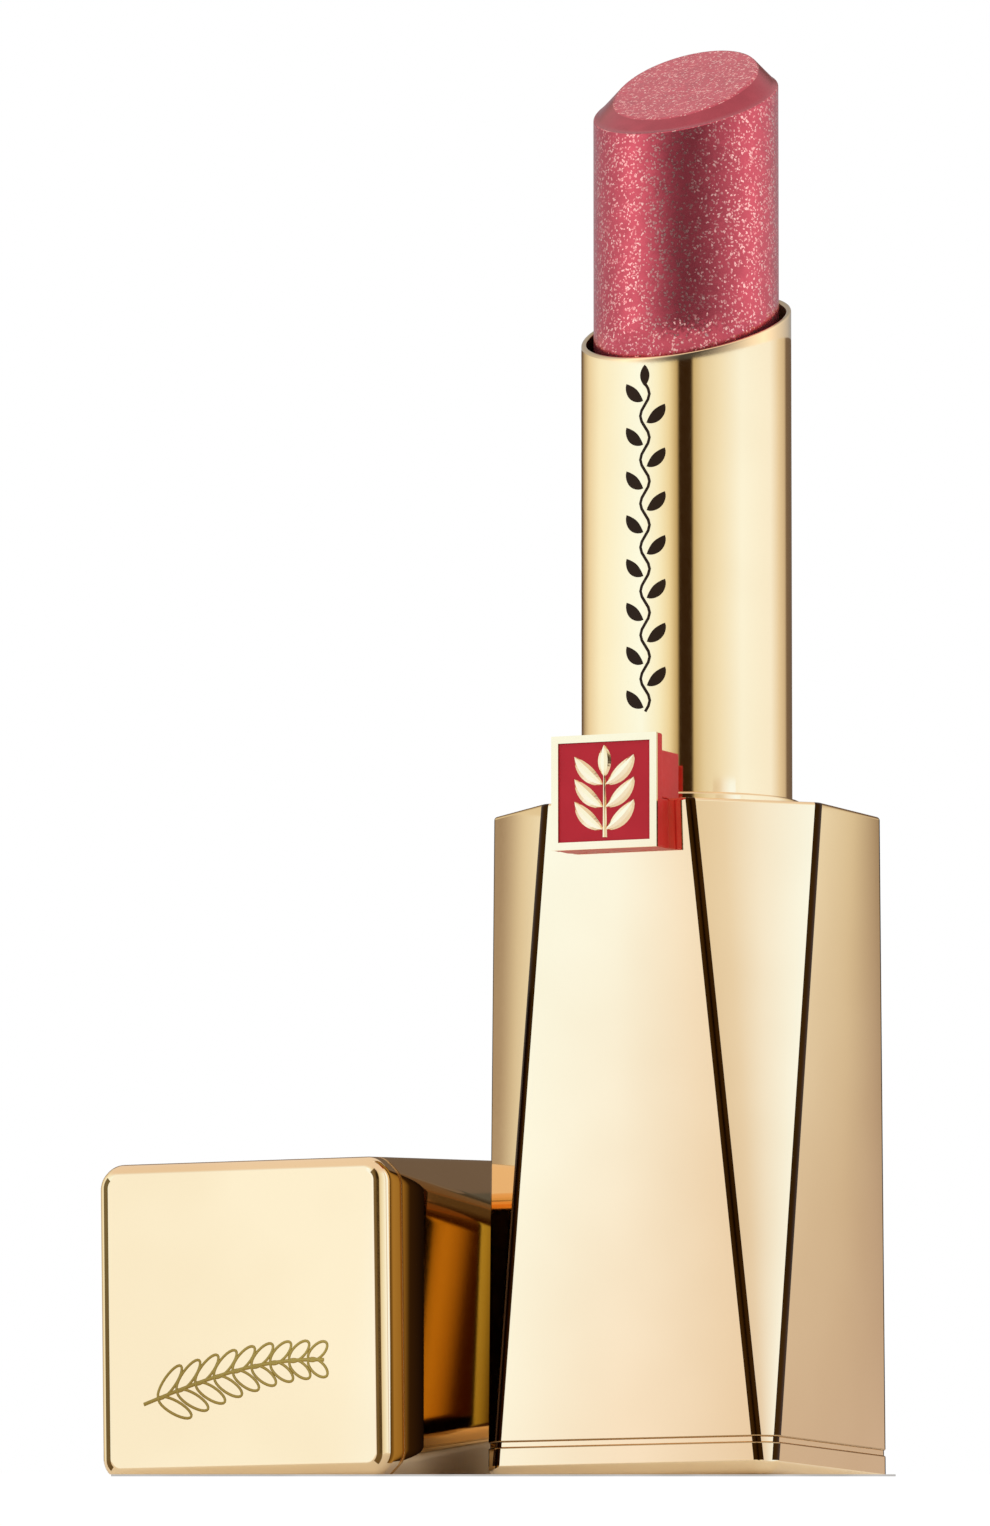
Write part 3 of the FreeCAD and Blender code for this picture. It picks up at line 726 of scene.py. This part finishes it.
# ------------------------------------------------------------------ emblem
def make_emblem():
    """Red block with its standoff and key, and the gold sprig on the enamel."""
    low, high = (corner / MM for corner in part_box("emblem_frame"))
    carrier_low, carrier_high = (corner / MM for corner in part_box("emblem_carrier"))
    back = -JOINT_WIDTH / 2 - STANDOFF
    reach = KEY_WIDTH / 2
    plate = round_box("emblem_plate", (low.x, carrier_low.y, low.z), (high.x, back, high.z), 0.12)
    finish_piece(plate, "base", [red_plastic], ["emblem_carrier"])
    foot = round_box("emblem_foot", (-reach, back - CUT_GAP, low.z + CUT_GAP),
                     (reach, -11.3, KEY_BOTTOM - CUT_GAP), 0.08)
    finish_piece(foot, "base", [red_plastic])
    key = round_box("emblem_key", (-reach, back - CUT_GAP, KEY_BOTTOM),
                    (reach, carrier_high.y, KEY_TOP), 0.10)
    finish_piece(key, "base", [red_plastic])

    enamel_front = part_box("emblem_enamel")[0].y / MM
    sprig = Strokes(0.09, 0.45)
    middle = (low.z + high.z) / 2
    sprig.stroke([(0.0, middle - 2.95 + 0.25 * i) for i in range(18)],
                 [0.34 - 0.010 * i for i in range(18)])
    for row in range(3):
        root = middle - 2.45 + 1.45 * row
        for side in (-1, 1):
            lean = math.radians(90 - side * 48)
            sprig.leaf((side * 0.10, root), lean, 2.75, 0.98, side * 0.30)
    sprig.leaf((0.0, middle + 0.9), math.radians(90), 2.1, 0.92, 0.0)
    piece = sprig.build("emblem_sprig", lambda u, v, rise: (u, enamel_front - rise, v))
    finish_piece(piece, "base", [gold_emblem], ["emblem_relief"])


# ------------------------------------------------------------------ cap
def lying_matrix():
    """From the cap standing on its mouth to where it lies."""
    tilt = math.atan((JOINT_WIDTH - CAP_END_WIDTH) / 2 / CAP_LENGTH)
    mouth = Vector((CAP_X, CAP_END_Y + CAP_LENGTH * math.cos(tilt),
                    JOINT_WIDTH / 2 * math.cos(tilt))) * MM
    roll = Matrix.Rotation(math.radians(90) + tilt, 4, "X")
    turn = Matrix.Rotation(math.radians(180), 4, "Z")
    return Matrix.Translation(mouth) @ roll @ turn


def cut_key_notch(shell, lying):
    """Notch in the mouth's upper edge that the emblem's key enters when the cap is on."""
    half, depth, reach = KEY_NOTCH_WIDTH / 2, KEY_NOTCH_DEPTH, 3.0
    front = -JOINT_WIDTH / 2
    cutter = round_box("notch_cutter", (-half, front - reach, -reach), (half, front + reach, depth),
                       0.25, 2, lying)
    whole = KDTree(len(shell.data.vertices))
    for vertex in shell.data.vertices:
        whole.insert(vertex.co, vertex.index)
    whole.balance()
    known = {}
    for loop, normal in zip(shell.data.loops, shell.data.corner_normals):
        known[loop.vertex_index] = Vector(normal.vector)
    notch = shell.modifiers.new("notch", "BOOLEAN")
    notch.operation = "DIFFERENCE"
    notch.solver = "EXACT"
    notch.object = cutter
    depsgraph = bpy.context.evaluated_depsgraph_get()
    cut = bpy.data.meshes.new_from_object(shell.evaluated_get(depsgraph))
    shell.modifiers.clear()
    shell.data = cut
    bpy.data.objects.remove(cutter)
    normals = [None] * len(cut.loops)
    for polygon in cut.polygons:
        for index in polygon.loop_indices:
            _, nearest, gap = whole.find(cut.vertices[cut.loops[index].vertex_index].co)
            normals[index] = known[nearest] if gap < 1e-6 else polygon.normal.copy()
    cut.normals_split_custom_set(normals)


def make_cap():
    """Shell with its notch, seam band and closed end of the cap, as it lies."""
    lying = lying_matrix()
    seam_high = CAP_LENGTH - FOOT_HEIGHT
    seam_low = seam_high - SEAM_HEIGHT
    shell = sweep_rings("cap_case", cap_form,
                        shell_profile(0.0, seam_low, RIM_RADIUS, SEAM_ROUND), matrix=lying,
                        seam_spans=SHELL_HIGH_EDGE)
    finish_piece(shell, "cap", [gold_case, gold_case, gold_seam_shade], ["cap_shell"])
    cut_key_notch(shell, lying)
    band = sweep_rings("cap_band", cap_form, band_profile(seam_low, seam_high), matrix=lying)
    finish_piece(band, "cap", [gold_case, gold_case], ["cap_seam_band"])
    plate = (arc(seam_high + SEAM_ROUND, SEAM_ROUND, SEAM_ROUND, -90, 0, 3)
             + arc(CAP_LENGTH - END_RADIUS, END_RADIUS, END_RADIUS, 0, 90, 12))
    end = sweep_rings("cap_end", cap_form, plate, closed=False, matrix=lying)
    ring = len(end.data.polygons) // (len(plate) - 1)
    for index in range((len(plate) - 1) * ring):
        from_face = len(plate) - 2 - index // ring
        left_or_right = index % ring % (ring // 2) in range(ring // 8, 3 * ring // 8)
        shaded = from_face in DARK_LINE_STEPS and left_or_right
        end.data.polygons[index].material_index = 1 if shaded else 0
    finish_piece(end, "cap", [gold_case, gold_shade], ["cap_end_plate"])


make_base()
make_collar()
make_tube()
make_bullet()
make_tube_print()
make_emblem()
make_cap()
make_cap_ornament()


# ------------------------------------------------------------------ studio
CAMERA_AZIMUTH = 24.0
CAMERA_ELEVATION = -6.2
CAMERA_DISTANCE = 0.830
PICTURE_HEIGHT = 1526.0
SCALE_AT_AXIS = 15.38e3      # picture units per metre at the swivel axis
AIM_SIDE = -0.01248          # picture centre, left of the axis
AIM_HEIGHT = 0.04694


def make_camera():
    """Long lens a little below the table's top, looking slightly up."""
    a, e = math.radians(CAMERA_AZIMUTH), math.radians(CAMERA_ELEVATION)
    back = Vector((math.sin(a) * math.cos(e), -math.cos(a) * math.cos(e), math.sin(e)))
    right = Vector((math.cos(a), math.sin(a), 0.0))
    aim = right * AIM_SIDE + Vector((0, 0, AIM_HEIGHT))
    data = bpy.data.cameras.new("camera")
    data.sensor_width = 36.0
    data.lens = data.sensor_width * SCALE_AT_AXIS * CAMERA_DISTANCE / PICTURE_HEIGHT
    data.clip_start, data.clip_end = 0.01, 20.0
    camera = bpy.data.objects.new("camera", data)
    camera.location = aim + back * CAMERA_DISTANCE
    camera.rotation_mode = "QUATERNION"
    camera.rotation_quaternion = (-back).to_track_quat("-Z", "Y")
    bpy.context.scene.collection.objects.link(camera)
    bpy.context.scene.camera = camera
    return right, Vector((math.sin(a), -math.cos(a), 0.0))


def glow(red, green, blue):
    """Light that looks like this colour (0-255, as displayed) once mirrored in the gold."""
    linear = [((c / 255 + 0.055) / 1.055) ** 2.4 for c in (red, green, blue)]
    return tuple(value / gold for value, gold in zip(linear, GOLD))


class Tree:
    """Short-hand for building a node tree."""

    def __init__(self, tree):
        self.tree = tree
        tree.nodes.clear()

    def add(self, kind, **settings):
        node = self.tree.nodes.new(kind)
        for key, value in settings.items():
            setattr(node, key, value)
        return node

    def link(self, source, target):
        self.tree.links.new(source, target)

    def math(self, operation, first, second):
        """Math node on sockets or plain numbers; returns its output."""
        node = self.add("ShaderNodeMath", operation=operation)
        for socket, value in zip(node.inputs, (first, second)):
            if isinstance(value, (int, float)):
                socket.default_value = value
            else:
                self.link(value, socket)
        return node.outputs[0]

    def coordinates(self, kind):
        """X, Y and Z outputs of one of the texture coordinates."""
        parts = self.add("ShaderNodeSeparateXYZ")
        self.link(self.add("ShaderNodeTexCoord").outputs[kind], parts.inputs[0])
        return parts.outputs

    def azimuth(self, parts):
        """Degrees round the vertical, from -Y towards +X."""
        forward = self.math("MULTIPLY", parts["Y"], -1.0)
        radians = self.math("ARCTAN2", parts["X"], forward)
        return self.math("MULTIPLY", radians, math.degrees(1.0))

    def ramp(self, fac, stops, low, high):
        """Colour ramp over a value range; returns its colour output."""
        share = self.add("ShaderNodeMapRange")
        share.inputs["From Min"].default_value = low
        share.inputs["From Max"].default_value = high
        self.link(fac, share.inputs["Value"])
        node = self.add("ShaderNodeValToRGB")
        elements = node.color_ramp.elements
        while len(elements) < len(stops):
            elements.new(0.5)
        for element, (place, colour) in zip(elements, stops):
            element.position = (place - low) / (high - low)
            element.color = (*colour, 1.0)
        self.link(share.outputs["Result"], node.inputs["Fac"])
        return node.outputs["Color"]


# what mirrors show of each azimuth: pale boxes, a dark gap and darkness behind
SURROUNDINGS = [
    (-180, (0.16, 0.12, 0.09)), (-138, (0.16, 0.11, 0.07)), (-126, glow(190, 155, 100)),
    (-112, glow(233, 202, 146)), (-86, glow(252, 235, 190)), (-28, glow(254, 251, 223)),
    (-8, glow(250, 236, 192)), (4, glow(238, 212, 155)), (13, glow(190, 155, 95)),
    (15, (0.03, 0.014, 0.004)), (29, (0.03, 0.014, 0.004)), (31, glow(205, 172, 112)),
    (42, glow(230, 205, 155)), (60, glow(244, 224, 180)), (86, glow(254, 244, 213)),
    (128, glow(252, 237, 203)), (146, glow(230, 200, 150)), (160, glow(205, 172, 122)),
    (166, (0.20, 0.15, 0.11)), (180, (0.16, 0.12, 0.09))]


OVERHEAD = (0.86, 0.80, 0.79, 1.0)


def make_world():
    """White to the eye; what the metal mirrors depends on azimuth."""
    world = bpy.data.worlds.new("studio")
    bpy.context.scene.world = world
    world.use_nodes = True
    t = Tree(world.node_tree)
    parts = t.coordinates("Generated")
    round_about = t.ramp(t.azimuth(parts), SURROUNDINGS, -180, 180)
    high = t.add("ShaderNodeMapRange", interpolation_type="SMOOTHSTEP")
    high.inputs["From Min"].default_value, high.inputs["From Max"].default_value = 0.42, 0.75
    t.link(parts["Z"], high.inputs["Value"])
    overhead = t.add("ShaderNodeMix", data_type="RGBA")
    overhead.inputs[7].default_value = OVERHEAD
    t.link(high.outputs["Result"], overhead.inputs[0])
    t.link(round_about, overhead.inputs[6])
    glossy = t.add("ShaderNodeBackground")
    t.link(overhead.outputs[2], glossy.inputs["Color"])
    plain = t.add("ShaderNodeBackground")
    plain.inputs["Color"].default_value = (1, 1, 1, 1)
    path = t.add("ShaderNodeLightPath")
    mix = t.add("ShaderNodeMixShader")
    t.link(path.outputs["Is Glossy Ray"], mix.inputs[0])
    t.link(plain.outputs[0], mix.inputs[1])
    t.link(glossy.outputs[0], mix.inputs[2])
    output = t.add("ShaderNodeOutputWorld")
    t.link(mix.outputs[0], output.inputs["Surface"])


CARD_SETBACK = 10.0         # about the facets' own distance from the axis
CARD_BELOW = 4.0
CARD_ABOVE = 0.3
MIRROR_ONLY = ("camera", "diffuse", "transmission", "shadow", "volume_scatter")
CAMERA_ONLY = ("diffuse", "glossy", "transmission", "shadow")


def make_sheet(name, points, faces, material, unseen=()):
    """Studio object from points in millimetres; rays of the unseen kinds miss it."""
    mesh = bpy.data.meshes.new(name)
    mesh.from_pydata([tuple(Vector(p) * MM) for p in points], [], faces)
    mesh.materials.append(material)
    sheet = link_object(name, mesh)
    for ray in unseen:
        setattr(sheet, "visible_" + ray, False)


def glowing(name, colour):
    """Material that gives off the colour a function makes from a tree and its X, Y, Z."""
    material = bpy.data.materials.new(name)
    material.use_nodes = True
    t = Tree(material.node_tree)
    emission = t.add("ShaderNodeEmission")
    t.link(colour(t, t.coordinates("Object")), emission.inputs["Color"])
    output = t.add("ShaderNodeOutputMaterial")
    t.link(emission.outputs[0], output.inputs["Surface"])
    return material


def make_card(name, facet, azimuth, climb, distance, upper, lower, reach):
    """Graded card that one flat facet mirrors; seen by mirrors only.

    azimuth is the direction of the mirrored ray, climb its slope and distance its length;
    upper and lower are the colours across the facet at its top and foot, and reach is how
    far the card goes beyond the facet's two edges.
    """
    a = math.radians(azimuth)
    across = Vector((math.cos(a), math.sin(a), 0))
    outward = Vector((math.sin(a), -math.cos(a), 0))
    (left_low, right_low), (left_high, right_high) = facet_edges(facet, azimuth, distance)
    lift = climb * distance
    left = min(left_low, left_high) - reach[0]
    right = max(right_low, right_high) + reach[1]
    start = outward * (distance + CARD_SETBACK)
    corners = [start + across * left, start + across * right]
    levels = (lift - CARD_BELOW, BASE_HEIGHT + lift + CARD_ABOVE)
    points = [c + Vector((0, 0, z)) for z in levels for c in corners]

    def colour(t, parts):
        east = t.math("MULTIPLY", parts["X"], across.x / MM)
        north = t.math("MULTIPLY", parts["Y"], across.y / MM)
        position = t.math("ADD", east, north)
        level = t.math("MULTIPLY", parts["Z"], 1.0 / MM)
        share = t.math("MULTIPLY", t.math("SUBTRACT", level, lift), 1.0 / BASE_HEIGHT)
        edge = t.math("ADD", t.math("MULTIPLY", share, left_high - left_low), left_low)
        width_low, width_high = right_low - left_low, right_high - left_high
        width = t.math("ADD", t.math("MULTIPLY", share, width_high - width_low), width_low)
        across_share = t.math("DIVIDE", t.math("SUBTRACT", position, edge), width)
        mix = t.add("ShaderNodeMix", data_type="RGBA")
        t.link(share, mix.inputs[0])
        t.link(t.ramp(across_share, lower, -2.0, 2.0), mix.inputs[6])
        t.link(t.ramp(across_share, upper, -2.0, 2.0), mix.inputs[7])
        return mix.outputs[2]

    make_sheet(name, points, [(0, 1, 3, 2)], glowing(name, colour), MIRROR_ONLY)


# brightness of the ring round the bullet by azimuth: two soft boxes and a gap between them
BULLET_RING = [(-180, 0.35), (-107, 0.42), (-72, 0.62), (-50, 0.95), (-34, 1.30), (-20, 1.0),
               (-7, 0.55), (6, 0.22), (18, 0.06), (30, 0.08), (42, 0.20), (54, 0.42),
               (67, 0.68), (82, 1.0), (98, 1.22), (120, 0.85), (155, 0.40), (180, 0.35)]


def make_bullet_ring():
    """Ring of graded light that only the bullet mirrors: bright at its sides, dark in front."""
    radius, level, slope, high, segments = 15.0, 75.0, 0.1, 97.0, 72
    points, faces = [], []
    for j in range(segments):
        turn = 2 * math.pi * j / segments
        x, y = radius * math.cos(turn), radius * math.sin(turn)
        points += [(x, y, level + slope * y), (x, y, high)]
        k = (j + 1) % segments
        faces.append((2 * j, 2 * k, 2 * k + 1, 2 * j + 1))
    stops = [(place, (value, value, value * 1.03)) for place, value in BULLET_RING]
    material = glowing("bullet_ring", lambda t, parts: t.ramp(t.azimuth(parts), stops, -180, 180))
    make_sheet("bullet_ring", points, faces, material, MIRROR_ONLY)


# colours of the two flags: by x behind the gap, and by y beside the cap
BACK_FLAG = [(-17, (0.10, 0.09, 0.07)), (-4, (0.03, 0.015, 0.005)), (-1.6, (0.03, 0.008, 0.002)),
             (-0.7, (0.34, 0.36, 0.10)), (0.6, (0.58, 0.68, 0.22)), (1.3, (0.50, 0.58, 0.18)),
             (2.2, (0.02, 0.01, 0.004)), (4, (0.02, 0.01, 0.004))]
SIDE_FLAG = [(-16.8, glow(80, 48, 10)), (-15.4, glow(165, 112, 40)), (-14.2, glow(150, 98, 30)),
             (-13.2, glow(50, 26, 4)), (-11.2, glow(20, 8, 1))]


def make_flag(name, corners, axis, stops):
    """Upright sheet between two (x, y) corners that only mirrors see, graded along an axis."""
    points = [(x, y, z) for z in (-1.0, 32.0) for x, y in corners]

    def colour(t, parts):
        return t.ramp(t.math("MULTIPLY", parts[axis], 1.0 / MM), stops, -20, 20)

    make_sheet(name, points, [(0, 1, 3, 2)], glowing(name, colour), MIRROR_ONLY)


def spread(corner, distance):
    """How much further out a mirrored ray meets its card, since the rays diverge."""
    a = math.radians(CAMERA_AZIMUTH)
    sideways = corner[0] * math.cos(a) + corner[1] * math.sin(a) - AIM_SIDE / MM
    return distance * MM / CAMERA_DISTANCE * sideways


def facet_edges(facet, azimuth, distance):
    """Where a base facet's two edges lie across a mirrored ray, at the foot and at the top."""
    a = math.radians(azimuth)
    across = Vector((math.cos(a), math.sin(a), 0))
    spans = []
    for width, leg in ((BASE_FOOT_WIDTH, BASE_FOOT_LEG), (JOINT_WIDTH, JOINT_LEG)):
        half, near = width / 2, width / 2 - leg
        corners = {0: ((-near, -half), (near, -half)), 1: ((near, -half), (half, -near)),
                   2: ((half, -near), (half, near)), 7: ((-half, -near), (-near, -half))}[facet]
        spans.append(tuple(across.dot(Vector((*c, 0))) + spread(c, distance) for c in corners))
    return spans


def make_cards():
    """Cards behind the look of the base's four visible facets and of the cap's end."""
    cap_cream = glow(254, 239, 205)
    make_card("card_front", 0, -24, 0.048, 60.0,
              [(-1.3, cap_cream), (-0.25, cap_cream), (0.0, glow(254, 252, 230)),
               (0.5, glow(254, 250, 226)), (0.9, glow(250, 230, 196)), (1.1, glow(243, 220, 182))],
              [(-1.3, cap_cream), (-0.25, cap_cream), (0.0, glow(254, 244, 216)),
               (0.5, glow(250, 227, 194)), (0.95, glow(236, 206, 167)), (1.1, glow(232, 202, 162))],
              (29.0, 4.0))
    make_card("card_right_corner", 1, 66, 0.194, 22.0,
              [(0.0, glow(228, 200, 154)), (0.25, glow(235, 209, 166)),
               (0.55, glow(248, 233, 202)), (1.0, glow(253, 250, 228))],
              [(0.0, glow(224, 196, 160)), (0.3, glow(232, 206, 170)), (1.0, glow(253, 246, 222))],
              (2.0, 3.0))
    make_card("card_right", 2, 156, 0.082, 60.0,
              [(0.0, glow(236, 210, 162)), (0.5, glow(219, 189, 138)),
               (0.85, glow(172, 140, 99)), (1.0, glow(124, 95, 62))],
              [(0.0, glow(208, 173, 132)), (1.0, glow(202, 167, 129))], (3.0, 5.0))
    make_card("card_left_corner", 7, -114, 0.141, 60.0,
              [(0.0, glow(160, 128, 88)), (0.2, glow(192, 160, 114)),
               (0.45, glow(228, 198, 144)), (1.0, glow(246, 224, 175))],
              [(0.0, glow(180, 145, 100)), (1.0, glow(225, 195, 140))], (4.0, 3.0))


def white_floor():
    """White from above and clear from below."""
    n = Nodes("floor_white")
    n.set(Base_Color=(0.86, 0.86, 0.86, 1.0), Roughness=0.6, Specular_IOR_Level=0.0)
    side = n.add("ShaderNodeNewGeometry")
    clear = n.add("ShaderNodeBsdfTransparent")
    mix = n.add("ShaderNodeMixShader")
    n.link(side, "Backfacing", mix, 0)
    n.link(n.shader, 0, mix, 1)
    n.link(clear, 0, mix, 2)
    n.link(mix, 0, n.output, "Surface")
    return n.material


def make_strip(name, right, front, left, far, depth, material):
    """Upright strip just before the object that only the camera sees."""
    points = [front + right * left, front + right * far]
    points += [p + Vector((0, 0, -depth)) for p in reversed(points)]
    make_sheet(name, points, [(0, 1, 2, 3)], material, CAMERA_ONLY)


def make_floor(right, toward_camera):
    """White table seen from above only, its front edge and a painted contact shadow: a soft grey
    line.
    """
    half = 1500.0
    corners = [(-half, -half, 0), (half, -half, 0), (half, half, 0), (-half, half, 0)]
    make_sheet("floor", corners, [(0, 1, 2, 3)], white_floor())
    white = Nodes("table_white")
    white.set(Base_Color=(0, 0, 0, 1), Emission_Color=(1, 1, 1, 1), Emission_Strength=1.0)
    make_strip("table_front", right, toward_camera * 13.2, -200.0, 200.0, 50.0, white.material)
    # Painted contact shadow: a grey glowing strip that only the camera sees.
    grey = Nodes("contact_shadow_grey")
    grey.set(Base_Color=(0, 0, 0, 1), Emission_Strength=1.0)
    blur = grey.noise(grey.position(), 0.3, 2.0)
    tone = grey.ramp(blur, "Fac", [(0.3, (0.42, 0.40, 0.38)), (0.7, (0.56, 0.54, 0.52))])
    grey.link(tone, "Color", grey.shader, "Emission Color")
    make_strip("contact_shadow_line", right, toward_camera * 13.3, -36.9, 13.0, 0.13, grey.material)


picture_right, toward = make_camera()
make_world()
make_cards()
make_bullet_ring()
make_flag("flag_back", [(-17.0, 25.0), (4.0, 25.0)], "X", BACK_FLAG)
make_flag("flag_side", [(-12.6, -16.8), (-12.6, -11.2)], "Y", SIDE_FLAG)
make_floor(picture_right, toward)
bpy.context.scene.view_settings.view_transform = "Standard"
